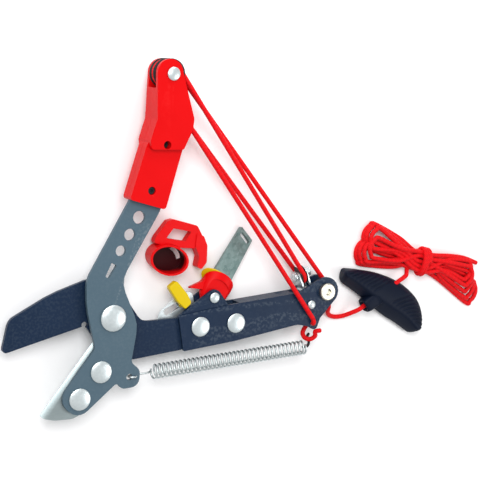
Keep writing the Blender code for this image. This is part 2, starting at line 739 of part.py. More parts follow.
# Return spring from the frame's ear to the hook at the lever end
spring_start = Vector((hook_x, hook_y, spring_z))
spring_end = Vector((ear_x, ear_y, spring_z))
spring_axis = (spring_end - spring_start).normalized()
coil_length = (spring_end - spring_start).length - spring_tail
side_way = spring_axis.cross(Vector((0, 0, 1)))


def coil(first_turn, last_turn):
    """The coil's centreline between two turns, counted from the hook."""
    per_turn = 6
    points = []
    for k in range(round((last_turn - first_turn) * per_turn) + 1):
        turn = first_turn + k / per_turn
        angle = 2 * math.pi * turn
        spoke = side_way * math.cos(angle) + Vector((0, 0, 1)) * math.sin(angle)
        points.append(spring_start + spring_axis * (coil_length * turn / spring_turns) + spoke * spring_radius)
    return points


half_turns = spring_turns / 2
bar("return_spring_lower", coil(0.2, half_turns - 0.08), spring_wire, "spring_steel", 1)
bar("return_spring_upper", coil(half_turns + 0.08, spring_turns - 0.2), spring_wire, "spring_steel", 1)

tail_start = spring_start + spring_axis * coil_length
tail_loop = [
    (ear_x + 5.0, ear_y, frame_low - 2.2), (ear_x + 0.4, ear_y, frame_low - 0.4),
    (ear_x, ear_y, frame_low + 2.0), (ear_x + 0.4, ear_y, frame_top + 1.6),
    (ear_x + 4.0, ear_y, frame_top + 2.6),
]
bar("spring_tail_wire", smooth_curve(
    [tail_start + spring_axis * 1.6, tail_start + spring_axis * 6.0, (ear_x + 9.0, ear_y, spring_z - 1.2)]
    + tail_loop, 2.5), spring_wire, "spring_steel")
bar("spring_hook", smooth_curve(hook_route, 2.5), 1.5, "black_plastic")

# Pole adapter: its own X runs from the pin to the tongue's tip, dipping to the surface
adapter_frame = (
    place(adapter_x, adapter_y, bracket_mid) @ turn_about_z(adapter_turn)
    @ Matrix.Rotation(adapter_dip, 4, "Y")
)
tab_gap = tab_front_low - tab_back_top
lug_half = tab_gap / 2 - gap
tongue_start = 12.0
tongue_slant = 2.2
tongue_hole = rounded([
    (adapter_reach - 9.0, -6.4, 1), (adapter_reach - 5.2, -7.2, 1),
    (adapter_reach - 1.8, 4.8, 1), (adapter_reach - 5.6, 6.2, 1),
])
adapter_tongue = plate(
    "adapter_tongue",
    rounded([(tongue_start, -tongue_base_width / 2, 1),
             (adapter_reach - tongue_slant, -tongue_tip_width / 2, 1.5),
             (adapter_reach + tongue_slant, tongue_tip_width / 2, 1.5),
             (tongue_start, tongue_base_width / 2, 1)]),
    -tongue_thick / 2, tongue_thick / 2, "galvanised", [tongue_hole], adapter_frame,
)
squash = Matrix.Diagonal((ferrule_depth / ferrule_radius, 1, 1, 1))
barrel_frame = adapter_frame @ Matrix.Rotation(math.radians(90), 4, "Y") @ squash
collar_at = 16.0
collar_aside = 3.0
collar_radius = 17.4
collar_lean = math.radians(36)
collar_thick = 4.2
collar_frame = (
    adapter_frame @ place(collar_at, collar_aside, 0) @ Matrix.Rotation(collar_lean, 4, "Y")
    @ Matrix.Rotation(math.radians(90), 4, "Y") @ Matrix.Diagonal((ferrule_depth / collar_radius, 1, 1, 1))
)
adapter_ferrule = turned(
    "adapter_ferrule",
    [(0, 34), (ferrule_radius - 0.6, 34), (ferrule_radius, 14), (ferrule_radius - 0.8, 6),
     (ferrule_radius - 3.4, -2), (ferrule_radius - 8, -7.4), (0, -9.4)],
    barrel_frame, "red_plastic", 28,
)
fin = plate("ferrule_fin", [(2, 8), (14, 14.5), (6, 16.5), (-5.2, 24.2), (-6.2, 23.2)], -3, 3,
            matrix=adapter_frame)
join(adapter_ferrule, fin)
over_collar = plate("ferrule_top_cutter", arc((0, 0), 60, 0, 345, 23), -gap, 40, matrix=collar_frame)
cut(adapter_ferrule, over_collar)
adapter_collar = turned(
    "adapter_collar",
    [(0, collar_thick), (collar_radius - 3.8, collar_thick), (collar_radius - 0.4, 1.6),
     (collar_radius, 0), (0, 0)],
    collar_frame, "yellow_plastic", 28,
)
tongue_slot = plate(
    "tongue_slot_cutter",
    [(tongue_start - gap, -tongue_base_width / 2 - gap), (adapter_reach, -tongue_tip_width / 2 - gap),
     (adapter_reach, tongue_tip_width / 2 + gap), (tongue_start - gap, tongue_base_width / 2 + gap)],
    -tongue_thick / 2 - gap, tongue_thick / 2 + gap, matrix=adapter_frame,
)
cut(adapter_ferrule, tongue_slot)
cut(adapter_collar, tongue_slot)
for side in (-1, 1):
    shave = plate(
        f"ferrule_lug_{'back' if side < 0 else 'front'}_cutter",
        arc((adapter_x, adapter_y), 17.5, 0, 345, 23), *sorted((side * lug_half, side * 30)),
        matrix=place(0, 0, bracket_mid),
    )
    cut(adapter_ferrule, shave)
pin_hole = turned("adapter_pin_cutter", [(0, 40), (adapter_pin_radius + pin_gap, 40),
                                         (adapter_pin_radius + pin_gap, -10), (0, -10)],
                  place(adapter_x, adapter_y, 0))
cut(adapter_ferrule, pin_hole)
rivet("adapter_pin", adapter_x, adapter_y, tab_back_top - flange_thick, tab_front_low + flange_thick,
      adapter_pin_radius, adapter_pin_head, adapter_pin_head)

# Angle lock: slotted plate under the lever, clamp pin and thumb knob
slot_way = (Vector(slot_end) - Vector(slot_start)).normalized()
slot_heading = math.degrees(math.atan2(slot_way.y, slot_way.x))
lock_slot = (arc(slot_start, slot_half_width, slot_heading + 90, slot_heading + 270, 8)
             + arc(slot_end, slot_half_width, slot_heading - 90, slot_heading + 90, 8))
plate(
    "lock_plate",
    rounded([(49.5, -9, 5), (52.8, -0.5, 9), (66, 9.2, 16), (84, 17, 6), (87.2, 6, 14), (84, -8, 6),
             (98, -14, 5), (96.5, -24.5, 6), (84, -25, 5), (72, -12.5, 6), (54, -14, 5)]),
    lock_low, lock_top, "zinc",
    [lock_slot, (*bracket_rivets["bracket_rivet_left"], bracket_rivet_radius + pin_gap)],
)
lock_pin_at = Vector(slot_end)
pin_flange = 1.8
turned("lock_pin", [(0, lock_top + 2.2), (lock_pin_radius, lock_top + 2.2),
                    (lock_pin_radius, lock_low - gap), (5.2, lock_low - gap),
                    (5.2, lock_low - gap - pin_flange), (0, lock_low - gap - pin_flange)],
       place(*lock_pin_at, 0), "zinc", 20)
knob_low = lock_top + gap
lock_knob = plate(
    "lock_knob",
    rounded([(57.5, 22, 3), (66, 28.3, 3), (77, 14.5, 4), (81.5, 5.5, 3), (74.6, 0.2, 2), (67, 7.6, 6)]),
    knob_low, knob_low + knob_thick, "yellow_plastic",
)
knob_socket = turned("lock_knob_cutter", [(0, lock_top + 2.2 + gap), (lock_pin_radius + gap, lock_top + 2.2 + gap),
                                          (lock_pin_radius + gap, 0), (0, 0)],
                     place(*lock_pin_at, 0), sides=20)
cut(lock_knob, knob_socket)

# Rope guide clip: a leaning ring with a web across it, a window frame and a hooked finger
clip_way = math.radians(220)
clip_tilt = Matrix.Rotation(clip_lean, 4, Vector((-math.sin(clip_way), math.cos(clip_way), 0)))
clip_oval = turn_about_z(math.radians(-17)) @ Matrix.Diagonal((1, clip_flat, 1, 1))
clip_frame = place(clip_x, clip_y, clip_radius * math.sin(clip_lean) - 0.4) @ clip_tilt @ clip_oval
clip_inside = clip_radius - clip_wall
rope_guide_clip = turned(
    "rope_guide_clip",
    [(0, clip_height), (clip_radius, clip_height), (clip_radius, 0), (0, 0)],
    clip_frame, "red_plastic", 32,
)
clip_web = 2.4
clip_bore = turned("clip_bore_cutter",
                   [(0, 40), (clip_inside, 40), (clip_inside, clip_web), (0, clip_web)],
                   clip_frame, sides=32)
cut(rope_guide_clip, clip_bore)
crescent = plate(
    "clip_crescent_cutter",
    arc((0, 0), clip_inside - 1.2, 12, 72, 8) + arc((-3.6, -3.4), clip_inside - 1.2, 72, 12, 8),
    -5, clip_web + 2, matrix=clip_frame,
)
cut(rope_guide_clip, crescent)
window_low, window_top = 5.2, 13.4
window = plate(
    "clip_window_frame",
    rounded([(47.5, 63, 3), (50.4, 69.1, 3), (62.6, 83.0, 3), (68.4, 83.9, 3), (92.8, 76.4, 4),
             (100.9, 60.5, 5), (90, 55, 3), (72, 57, 3)]),
    window_low, window_top,
)
finger = plate(
    "clip_finger",
    rounded([(92, 70, 2), (99, 66, 3), (102.4, 57, 4), (101.6, 41, 4), (96, 34.8, 2), (91.6, 37.4, 2),
             (94, 47, 4), (90, 57, 4)]),
    3.4, 14.6,
)
clear_bore = turned("clip_clear_cutter", [(0, 40), (clip_radius - 0.9, 40), (clip_radius - 0.9, -10),
                                          (0, -10)], clip_frame, sides=32)
for tool in (window, finger):
    cut(tool, clear_bore)
    join(rope_guide_clip, tool)
opening = plate(
    "clip_window_cutter",
    rounded([(60.4, 66.6, 1), (68.1, 75.4, 1), (86.6, 71.0, 1), (80.0, 62.4, 1)]),
    window_low - 1, window_top + 8,
)
cut(rope_guide_clip, opening)

# Pull handle: a crescent grip with a stem, bored for the rope
grip = rounded([
    (251.0, 6.5, 4), (252.5, 23.5, 6), (288, 18.5, 40), (322, 5.5, 30), (350, -18, 22),
    (353.5, -44, 12), (338, -54, 7), (318, -40.5, 14), (302.5, -31.5, 8), (294, -22, 3),
    (282, -26.5, 3), (272.8, -15.5, 3), (272.0, -6.0, 3),
])
pull_handle = plate("pull_handle", grip, 0, grip_height, "grip_plastic")
through = Vector(handle_back) - Vector(handle_mouth)
rope_level = grip_height / 2
rope_bore = turned(
    "handle_bore_cutter", [(0, 70), (handle_bore, 70), (handle_bore, -20), (0, -20)],
    along((*handle_mouth, rope_level), (*handle_back, rope_level)), sides=16,
)
cut(pull_handle, rope_bore)

# Free rope: from the end pulley over the surface, through the handle and into the hank
lying = rope_radius + 0.05
rope_route = [
    (rope_exit[0] + 0.03, rope_exit[1] - 0.35, rope_exit[2]), (237.0, -14.5, 12.0),
    (239.0, -20.5, 6.6), (243.2, -25.0, 3.1), (249.5, -27.4, lying), (257.0, -27.6, lying),
    (262.4, -26.0, 4.6), (handle_mouth[0] - 7.1, handle_mouth[1] - 3.8, rope_level - 0.4),
    (*handle_mouth, rope_level),
    (handle_mouth[0] + through.x * 0.33, handle_mouth[1] + through.y * 0.33, rope_level),
    (handle_mouth[0] + through.x * 0.66, handle_mouth[1] + through.y * 0.66, rope_level),
    (*handle_back, rope_level), (330.3, 9.8, rope_level - 0.4),
]
bar("free_rope", smooth_curve(rope_route, 9), rope_radius, "rope", 2)

# Hank: many strands folded back and forth, bound at the waist by a tie
tie_x, tie_y = 350.0, 22.0
tie_turn = math.radians(-16)
hank_height = 14.0
hank_frame = place(tie_x, tie_y, 0) @ turn_about_z(tie_turn)
tie_half = 5.0
tie_reach = 16.5
waist = 12.0
left_lobe = rounded([
    (-tie_half - gap, -waist, 0), (-16, -13, 8), (-38, -16.5, 20), (-64, -18, 14), (-82, -10, 8),
    (-78, 16, 12), (-62, 26, 14), (-45, 27.5, 20), (-22, 21.5, 14), (-tie_half - gap, waist, 0),
])
right_lobe = rounded([
    (tie_half + gap, waist, 0), (20, 15, 12), (40, 18, 12), (70, 13, 6), (74, -2, 10), (83, -14, 10),
    (78, -28, 10), (60, -32, 14), (36, -26, 16), (18, -16, 10), (tie_half + gap, -waist, 0),
])
plate("rope_hank_left", left_lobe, 0, hank_height, "rope", matrix=hank_frame)
plate("rope_hank_right", right_lobe, 0, hank_height, "rope", matrix=hank_frame)
plate("hank_tie", rounded([(-tie_half, -tie_reach, 2), (-tie_half, tie_reach, 2),
                           (tie_half, tie_reach, 2), (tie_half, -tie_reach, 2)]),
      0, hank_height + 2, "rope", matrix=hank_frame)
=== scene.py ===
import math

import bmesh
import bpy
import numpy as np
from mathutils import Matrix, Vector
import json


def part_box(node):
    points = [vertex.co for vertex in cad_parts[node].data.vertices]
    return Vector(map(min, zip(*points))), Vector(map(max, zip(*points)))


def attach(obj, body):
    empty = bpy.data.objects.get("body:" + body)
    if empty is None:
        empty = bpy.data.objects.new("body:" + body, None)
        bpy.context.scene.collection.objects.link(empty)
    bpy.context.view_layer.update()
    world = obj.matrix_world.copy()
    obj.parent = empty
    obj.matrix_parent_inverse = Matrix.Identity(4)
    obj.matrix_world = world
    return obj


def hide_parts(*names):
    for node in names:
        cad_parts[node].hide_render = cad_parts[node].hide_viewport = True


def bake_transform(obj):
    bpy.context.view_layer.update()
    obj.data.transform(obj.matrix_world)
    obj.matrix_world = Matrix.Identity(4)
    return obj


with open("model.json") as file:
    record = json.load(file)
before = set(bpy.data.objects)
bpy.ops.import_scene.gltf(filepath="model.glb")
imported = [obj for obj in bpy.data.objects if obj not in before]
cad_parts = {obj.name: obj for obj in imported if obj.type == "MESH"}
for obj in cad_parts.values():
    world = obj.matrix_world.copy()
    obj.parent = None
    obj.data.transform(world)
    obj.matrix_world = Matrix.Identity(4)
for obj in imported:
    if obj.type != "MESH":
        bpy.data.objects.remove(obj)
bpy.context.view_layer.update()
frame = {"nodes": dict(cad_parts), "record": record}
mm = 0.001

# Places are in millimetres from the main pivot, as on the CAD plan, with Z up from the surface
pivotLow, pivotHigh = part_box("pivot_bolt")
planOrigin = np.array([(pivotLow.x + pivotHigh.x) / 2, (pivotLow.y + pivotHigh.y) / 2, 0.0])


def at(points):
    # plan millimetres to metres in the frame
    return planOrigin + np.asarray(points, float) * mm


def spot(x, y, z):
    return Vector(at((x, y, z)))


# Camera, light and floor

view = {
    "target": (136.5, 60.0, 15.0),
    "towards": (-0.454, 0.15, 0.878),
    "distance": 1.35,
    "width": 0.456,
}


def makeCamera():
    data = bpy.data.cameras.new("camera")
    data.sensor_width = 36
    data.lens = 36 * view["distance"] / view["width"]
    camera = bpy.data.objects.new("camera", data)
    bpy.context.scene.collection.objects.link(camera)
    back = Vector(view["towards"]).normalized()
    right = Vector((0, 1, 0)).cross(back).normalized()
    up = back.cross(right)
    turn = Matrix((right, up, back)).transposed().to_4x4()
    camera.matrix_world = Matrix.Translation(spot(*view["target"]) + back * view["distance"]) @ turn
    bpy.context.scene.camera = camera


studio = {
    "floor": (0.95, 0.95, 0.955),
    "sky": 0.62,
    "aim": (100, 60, 10),
    "reach": 4.0,
    "lamps": [((-0.45, 0.55, 1.1), 0.8, 12.0), ((0.9, -0.35, 0.9), 0.6, 4.0), ((0.2, 1.0, 0.45), 0.5, 3.0)],
}


def makeStudio():
    world = bpy.data.worlds.new("soft_sky")
    world.use_nodes = True
    ground = world.node_tree.nodes["Background"]
    ground.inputs["Color"].default_value = (1, 1, 1, 1)
    ground.inputs["Strength"].default_value = studio["sky"]
    bpy.context.scene.world = world
    bpy.context.scene.view_settings.view_transform = "Standard"
    aim = spot(*studio["aim"])
    for i, (offset, size, power) in enumerate(studio["lamps"]):
        data = bpy.data.lights.new(f"lamp_{i}", "AREA")
        data.shape = "DISK"
        data.size = size
        data.energy = power
        lamp = bpy.data.objects.new(f"lamp_{i}", data)
        bpy.context.scene.collection.objects.link(lamp)
        lamp.location = aim + Vector(offset)
        lamp.rotation_euler = (aim - lamp.location).to_track_quat("-Z", "Y").to_euler()
    mesh = bpy.data.meshes.new("floor")
    half = studio["reach"]
    mesh.from_pydata([(-half, -half, 0), (half, -half, 0), (half, half, 0), (-half, half, 0)], [],
                     [(0, 1, 2, 3)])
    floor = bpy.data.objects.new("floor", mesh)
    bpy.context.scene.collection.objects.link(floor)
    paper = bpy.data.materials.new("pale_floor")
    paper.use_nodes = True
    shader = paper.node_tree.nodes["Principled BSDF"]
    shader.inputs["Base Color"].default_value = (*studio["floor"], 1)
    shader.inputs["Roughness"].default_value = 0.9
    mesh.materials.append(paper)


makeCamera()
makeStudio()
print("camera and studio made")


# Shapes: grids of points and tubes along paths


def addMesh(name, verts, faces, uv=None):
    mesh = bpy.data.meshes.new(name)
    mesh.from_pydata(verts.tolist(), [], faces)
    if uv is not None:
        layer = mesh.uv_layers.new(name="weave")
        corner = np.empty(len(mesh.loops), np.int32)
        mesh.loops.foreach_get("vertex_index", corner)
        layer.data.foreach_set("uv", uv[corner].astype(np.float32).ravel())
    mesh.shade_smooth()
    obj = bpy.data.objects.new(name, mesh)
    bpy.context.scene.collection.objects.link(obj)
    return obj


def closedGrid(rings, sides):
    # quads from ring to ring, then fans to the two end points that follow the last ring
    ring = np.arange(rings - 1)[:, None] * sides
    side = np.arange(sides)[None, :]
    after = (side + 1) % sides
    quads = np.stack([ring + side, ring + after, ring + sides + after, ring + sides + side], -1)
    first, last, base = rings * sides, rings * sides + 1, (rings - 1) * sides
    fans = [(first, (k + 1) % sides, k) for k in range(sides)]
    fans += [(last, base + k, base + (k + 1) % sides) for k in range(sides)]
    return quads.reshape(-1, 4).tolist() + fans


def smoothPath(points, spacing):
    # a Catmull-Rom curve through the points, then evenly spaced
    points = np.asarray(points, float)
    ends = np.vstack([2 * points[0] - points[1], points, 2 * points[-1] - points[-2]])
    a, b, c, d = ends[:-3, None], ends[1:-2, None], ends[2:-1, None], ends[3:, None]
    t = np.linspace(0, 1, 24, endpoint=False)[None, :, None]
    curve = (2 * b + (c - a) * t + (2 * a - 5 * b + 4 * c - d) * t**2 + (3 * b - a - 3 * c + d) * t**3) / 2
    curve = np.vstack([curve.reshape(-1, 3), points[-1]])
    return evenly(curve, spacing)


def evenly(curve, spacing):
    steps = np.linalg.norm(np.diff(curve, axis=0), axis=1)
    run = np.concatenate([[0], np.cumsum(steps)])
    count = max(2, int(round(run[-1] / spacing)) + 1)
    want = np.linspace(0, run[-1], count)
    return np.stack([np.interp(want, run, curve[:, k]) for k in range(3)], 1)


def pathFrames(path, reference):
    # tangent, side and lift at each point of a path that never runs along the reference
    tangent = np.gradient(path, axis=0)
    tangent /= np.linalg.norm(tangent, axis=1, keepdims=True)
    side = np.cross(np.asarray(reference, float), tangent)
    side /= np.linalg.norm(side, axis=1, keepdims=True)
    return tangent, side, np.cross(tangent, side)


def tube(name, path, radius, sides=12, reference=(0, 0, 1), relief=None, endRound=True):
    # a ring of points round each path point: path + radius * (cos a * side + sin a * lift)
    path = np.asarray(path, float)
    tangent, side, lift = pathFrames(path, reference)
    run = np.concatenate([[0], np.cumsum(np.linalg.norm(np.diff(path, axis=0), axis=1))])
    angle = np.arange(sides) / sides * 2 * math.pi
    reach = np.full((len(path), sides), float(radius))
    if relief is not None:
        reach = reach * relief(run[:, None], angle[None, :])
    if endRound:
        near = np.minimum(run, run[-1] - run) / (0.6 * radius)
        reach = reach * (0.55 + 0.45 * np.sqrt(np.clip(near * (2 - np.minimum(near, 1)), 0, 1)))[:, None]
    rings = (path[:, None] + reach[..., None] * (np.cos(angle)[None, :, None] * side[:, None]
                                                + np.sin(angle)[None, :, None] * lift[:, None]))
    verts = np.vstack([rings.reshape(-1, 3), path[0], path[-1]])
    uv = np.stack([np.tile(angle / (2 * math.pi), len(path)), np.repeat(run, sides)], 1)
    uv = np.vstack([uv, [0, 0], [0, run[-1]]])
    return addMesh(name, verts, closedGrid(len(path), sides), uv)


# The rope: one free run with its hank, the hank's binding, the tackle, the turns and the knot

rope = {
    "radius": 2.25 * mm,
    "sides": 16,
    "spacing": 0.9 * mm,
    "plaits": 8,
    "pitch": 9.0 * mm,
    "relief": 0.045,
}


def braid(run, angle):
    # two sets of strands that wind opposite ways, each one standing up where it lies on top
    across = angle * rope["plaits"] / 2
    along = run * (2 * math.pi / rope["pitch"]) * rope["plaits"] / 4
    over = np.abs(np.cos(across + along)) * (0.5 + 0.5 * np.sin(across * 2 - along))
    under = np.abs(np.cos(across - along)) * (0.5 - 0.5 * np.sin(across * 2 - along))
    return 1 - rope["relief"] + rope["relief"] * (over + under) * 1.6


def ropeRun(name, path, reference=(0, 0, 1), endRound=True):
    piece = tube(name, path, rope["radius"], rope["sides"], reference, braid, endRound)
    ropePieces.append(piece)
    return piece


ropePieces = []
exitPoint = (235.3, -4.2, 14.4)
handleMouth = np.array([279.0, -17.4, 11.0])
handleBack = np.array([327.5, 8.4, 11.0])
lying = 2.3
throughGrip = [tuple(handleMouth + (handleBack - handleMouth) * share) for share in (0, 0.33, 0.66, 1)]
freeRoute = [
    exitPoint, (235.33, -4.55, 14.4), (237.0, -14.5, 12.0), (239.0, -20.5, 6.6), (243.2, -25.0, 3.1),
    (249.5, -27.4, lying), (257.0, -27.6, lying), (262.4, -26.0, 4.6), (271.9, -21.2, 10.6),
    *throughGrip, (330.6, 11.4, 9.4),
]

hank = {
    "tie": (350.0, 22.0),
    "turn": math.radians(-16),
    "loops": 7,
    "floor": 2.35,
    "rise": 1.6,
    "waistRow": (3.4, 7.0, 10.6),
    "waistAcross": 5,
    "waistStep": 4.5,
    "waistHalf": 9,
    "foldHalf": 74,
}


def hankPoint(x, y, z):
    c, s = math.cos(hank["turn"]), math.sin(hank["turn"])
    return hank["tie"][0] + x * c - y * s, hank["tie"][1] + x * s + y * c, z


def fold(centre, radius, height, side):
    # a U-turn at one end of the hank, from its lower arm round to its upper arm
    half = hank["foldHalf"]
    first, last = (-half, half) if side > 0 else (half - 180, -half - 180)
    angles = np.radians(np.linspace(first, last, 7))
    return [(centre[0] + radius * math.cos(a), centre[1] + radius * math.sin(a), height) for a in angles]


def waistPass(i, going):
    # the straight bit of strand i under the tie
    across, half = hank["waistAcross"], hank["waistHalf"]
    y = (i % across - across // 2) * hank["waistStep"]
    z = hank["waistRow"][i // across]
    return [(-half * going, y, z), (half * going, y, z)]


def hankRoute():
    # strand after strand: out to a fold on the right, back to a fold on the left, and so on
    rightFolds = [((68.5, -18.5), 12.6), ((57.0, -1.0), 11.2), ((62.5, -14.5), 11.4), ((54.5, 1.5), 10.6),
                  ((57.0, -8.5), 11.0), ((52.0, 2.5), 10.4), ((54.0, -3.0), 10.4)]
    leftFolds = [((-64.0, -5.0), 13.2), ((-61.0, 12.4), 13.2), ((-62.8, -4.0), 12.2), ((-60.2, 12.6), 12.2),
                 ((-60.6, -3.0), 11.0), ((-57.8, 11.4), 11.0), ((-57.5, 2.0), 10.8)]
    spread = (0.95, 0.95, 0.62, 0.62, 0.30, 0.30, 0.75)
    route = [(-14.0, -10.0, 5.6)]
    for k in range(hank["loops"]):
        height = hank["floor"] + hank["rise"] * k
        centre, radius = rightFolds[k]
        arms = fold(centre, radius, height, 1)
        route += waistPass(2 * k, 1)
        route += [(30.0, 0.45 * arms[0][1] + 0.1 * (k - 2), height + 0.6)]
        route += arms
        route += [(30.0, 0.5 * arms[-1][1] + 2.5, height + 1.4)]
        centre, radius = leftFolds[k]
        arms = fold(centre, radius, height, -1)
        route += waistPass(2 * k + 1, -1)
        middle, wide = 0.6 * centre[1], 0.8 * spread[k] * radius
        route += [(-32.0, middle - wide, height + 0.6)]
        route += arms
        route += [(-32.0, middle + wide, height + 1.4)]
    route += waistPass(2 * hank["loops"], 1)
    route += [(30.0, 12.5, 11.2), (50.0, 14.2, 9.0), (70.0, 12.4, 6.8)]
    return [hankPoint(*p) for p in route]


freePath = smoothPath(at(freeRoute + hankRoute()), rope["spacing"])
freeRope = ropeRun("rope_and_hank", freePath, endRound=True)
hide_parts("free_rope", "rope_hank_left", "rope_hank_right")
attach(freeRope, "lever")


binding = {"from": -60, "to": 810, "points": 40, "wide": 13.2, "tall": 6.55, "height": 8.95, "half": 3.8,
           "slant": 1.4}


def tieRoute():
    # almost two and a half turns round the waist, side by side
    turns = np.radians(np.linspace(binding["from"], binding["to"], binding["points"]))
    share = np.linspace(0, 1, binding["points"])
    y = binding["wide"] * np.cos(turns)
    z = binding["height"] + binding["tall"] * np.sin(turns)
    x = -binding["half"] + 2 * binding["half"] * share + binding["slant"] * np.sin(turns)
    return [hankPoint(*p) for p in zip(x, y, z)]


axisOfHank = (math.cos(hank["turn"]), math.sin(hank["turn"]), 0)
hankTie = ropeRun("hank_binding", smoothPath(at(tieRoute()), rope["spacing"]), axisOfHank)
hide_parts("hank_tie")
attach(hankTie, "lever")

headAt = np.array([56.4, 219.1])
endAt = np.array([226.0, 4.3])
blockAt = np.array([203.0, 21.5])
eyeAt = np.array([211.4, -26.2])
frontSheave, backSheave, channel = 32.2, 22.4, 15.0
headRopeRadius, endRopeRadius, blockRopeRadius = 10.7, 8.5, 7.0
lineWay = (endAt - headAt) / np.linalg.norm(endAt - headAt)
rightward = np.array([-lineWay[1], lineWay[0]])
headRight = headAt + rightward * headRopeRadius
headLeft = headAt - rightward * headRopeRadius
endRight = endAt + rightward * endRopeRadius
tackle = {
    "a": ((*headRight, backSheave), (*endRight, channel), "line_a_low", "line_a_high"),
    "b": ((*headRight, frontSheave), (*(blockAt + (0.6, -0.4)), channel + blockRopeRadius),
          "block", "line_b_high"),
    "c": ((*headLeft, frontSheave), (209.8, -21.0, 28.0), "line_c_low", "line_c_high"),
    "d": ((*headLeft, backSheave), (*blockAt, channel - blockRopeRadius), "block", "line_b_high"),
}


def makeTackle():
    for letter, (top, bottom, low, high) in tackle.items():
        path = evenly(at([bottom, top]), rope["spacing"])
        line = ropeRun(f"tackle_line_{letter}", path, endRound=False)
        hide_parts(f"rope_line_{letter}_upper", f"rope_line_{letter}_lower")
        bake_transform(line)


turnSteps = 24
overlap = 24
blockLean = math.radians(20)


def arcRoute(centre, radius, first, last, z):
    angle = np.radians(np.linspace(first, last, turnSteps))
    return np.stack([centre[0] + radius * np.cos(angle), centre[1] + radius * np.sin(angle),
                     np.full(turnSteps, z)], 1)


def makeWraps():
    outward = math.degrees(math.atan2(rightward[1], rightward[0]))
    for side, z in (("front", frontSheave), ("back", backSheave)):
        around = arcRoute(headAt, headRopeRadius, outward - overlap, outward + (180 + overlap), z)
        path = evenly(at(around), rope["spacing"])
        wrap = ropeRun(f"head_turn_{side}", path, endRound=False)
        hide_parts(f"head_wrap_{side}")
        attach(wrap, "frame")
    angle = np.radians(np.linspace(90, -90, turnSteps))
    around = np.stack([blockAt[0] + blockRopeRadius * np.cos(angle) * math.sin(blockLean),
                       blockAt[1] - blockRopeRadius * np.cos(angle) * math.cos(blockLean),
                       channel + blockRopeRadius * np.sin(angle)], 1)
    wrap = ropeRun("block_turn", evenly(at(around), rope["spacing"]),
                   (math.cos(blockLean), math.sin(blockLean), 0), endRound=False)
    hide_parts("block_wrap")
    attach(wrap, "block")
    around = arcRoute(endAt, endRopeRadius, outward, -4, channel)
    wrap = ropeRun("end_turn", smoothPath(at(np.vstack([around[::4], [exitPoint]])), rope["spacing"]),
                   endRound=False)
    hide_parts("end_wrap")
    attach(wrap, "lever")
    eye = np.array([*eyeAt, 0.0])
    route = eye + [(-1.6, 5.2, 28.0), (-0.5, 1.8, 27.6), (0, 0, 25.6), (0, 0, 22.0), (-0.6, -1.6, 17.0),
                   (-3.2, -6.6, 14.2), (-5.4, -11.4, 14.5), (-4.2, -15.6, 17.4), (0, -16.6, 20.4),
                   (4.0, -13.4, 22.6), (3.2, -8.6, 24.4), (7.6, -7.0, 28.5)]
    knot = ropeRun("eye_knot", smoothPath(at(route), rope["spacing"]), (1, 0, 0))
    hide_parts("rope_anchor")
    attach(knot, "lever")


makeTackle()
makeWraps()

# Return spring: one close coil with its hooked tails

spring = {"turns": 38, "steps": 20, "radius": 6.4, "wire": 0.95, "z": 24.5, "tail": 24.0}
hookAt = np.array([203.0, -49.0, spring["z"]])
earAt = np.array([15.3, -56.5, spring["z"]])


def makeSpring():
    way = (earAt - hookAt) / np.linalg.norm(earAt - hookAt)
    length = np.linalg.norm(earAt - hookAt) - spring["tail"]
    side = np.cross(way, (0, 0, 1))
    turn = np.linspace(0, spring["turns"], spring["turns"] * spring["steps"])
    angle = turn * 2 * math.pi
    spoke = np.cos(angle)[:, None] * side + np.sin(angle)[:, None] * np.array([0, 0, 1.0])
    grow = np.clip(np.minimum(turn, spring["turns"] - turn) * 1.6 + 0.25, 0, 1)[:, None]
    coil = hookAt + way * (length * turn / spring["turns"])[:, None] + spoke * spring["radius"] * grow
    last = hookAt + way * length
    hooked = [(8.0, 23.6), (3.6, 22.9), (0.6, 24.0), (0.0, 27.0), (0.6, 30.4), (4.2, 31.4), (7.0, 29.6)]
    tail = [last + way * 3.5, last + way * 9.0, *[(earAt[0] + x, earAt[1], z) for x, z in hooked]]
    wire = tube("return_spring", at(coil), spring["wire"] * mm, 8, tuple(way))
    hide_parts("return_spring_lower", "return_spring_upper")
    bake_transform(wire)
    hookWire = tube("spring_tail", smoothPath(at(np.vstack([coil[-6:-5], tail])), 0.5 * mm),
                    spring["wire"] * mm, 8, (0, 1, 0))
    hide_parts("spring_tail_wire")
    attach(hookWire, "spring_high")
    return [wire, hookWire]


springPieces = makeSpring()
print("spring made")

# Pull handle: a crescent grip with a ribbed back face, a plain front face and a bored stem

grip = {
    "stations": 300,
    "round": 56,
    "ribs": 8,
    "ribDepth": 1.9,
    "skew": 0.10,
    "top": 21.6,
    "frontBrow": 9.0,
    "backBrow": 12.5,
    "bottom": 0.15,
    "length": 118,
    "shoulder": 5.0,
    "bluntness": 2.6,
}


def gripCurves(share):
    # front edge, crest and back edge of the grip at shares of its length
    front = smoothPath([(253.5, 8.5, 0), (268, -1.5, 0), (284, -14, 0), (302, -28.5, 0), (320, -40, 0),
                        (337, -52.5, 0)], 0.5)
    crest = smoothPath([(252.8, 20.5, 0), (267, 11.5, 0), (289, -4, 0), (306, -14.5, 0), (330, -31.5, 0),
                        (343, -47.5, 0)], 0.5)
    back = smoothPath([(254.5, 22.5, 0), (273, 19.6, 0), (300, 13, 0), (326, 1.0, 0), (345, -16, 0),
                       (351.5, -34, 0), (348.5, -49.5, 0)], 0.5)
    return [np.stack([np.interp(share, np.linspace(0, 1, len(c)), c[:, k]) for k in (0, 1)], -1)
            for c in (front, crest, back)]


